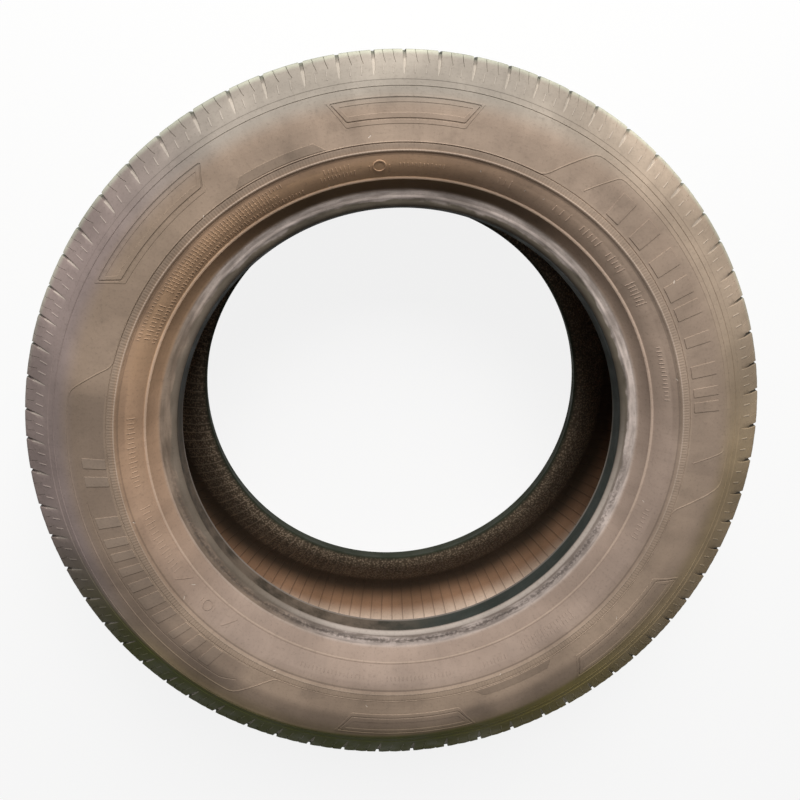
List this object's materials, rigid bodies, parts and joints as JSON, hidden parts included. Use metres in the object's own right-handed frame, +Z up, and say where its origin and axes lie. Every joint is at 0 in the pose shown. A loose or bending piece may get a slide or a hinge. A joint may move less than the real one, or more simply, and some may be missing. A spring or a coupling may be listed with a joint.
{
  "type": "tyre",
  "caption": "Old worn radial tyre for a light van, off its rim, lying on its sidewall; open through the middle and hollow inside.",
  "frame": {"origin": "on the tyre's axis, on the surface that the tyre lies on", "axes": "+Z up along the tyre's axis, from the sidewall that it lies on towards the one that shows; X and Y across the tyre, which is round"},
  "size_m": [0.6759, 0.676, 0.217],
  "materials": {
    "tyre_rubber": "old black rubber gone grey-brown with dust, scuffed on the ribs and bead heels, dull"
  },
  "bodies": {
    "root": {"tyre": "tyre_rubber"}
  },
  "joints": []
}
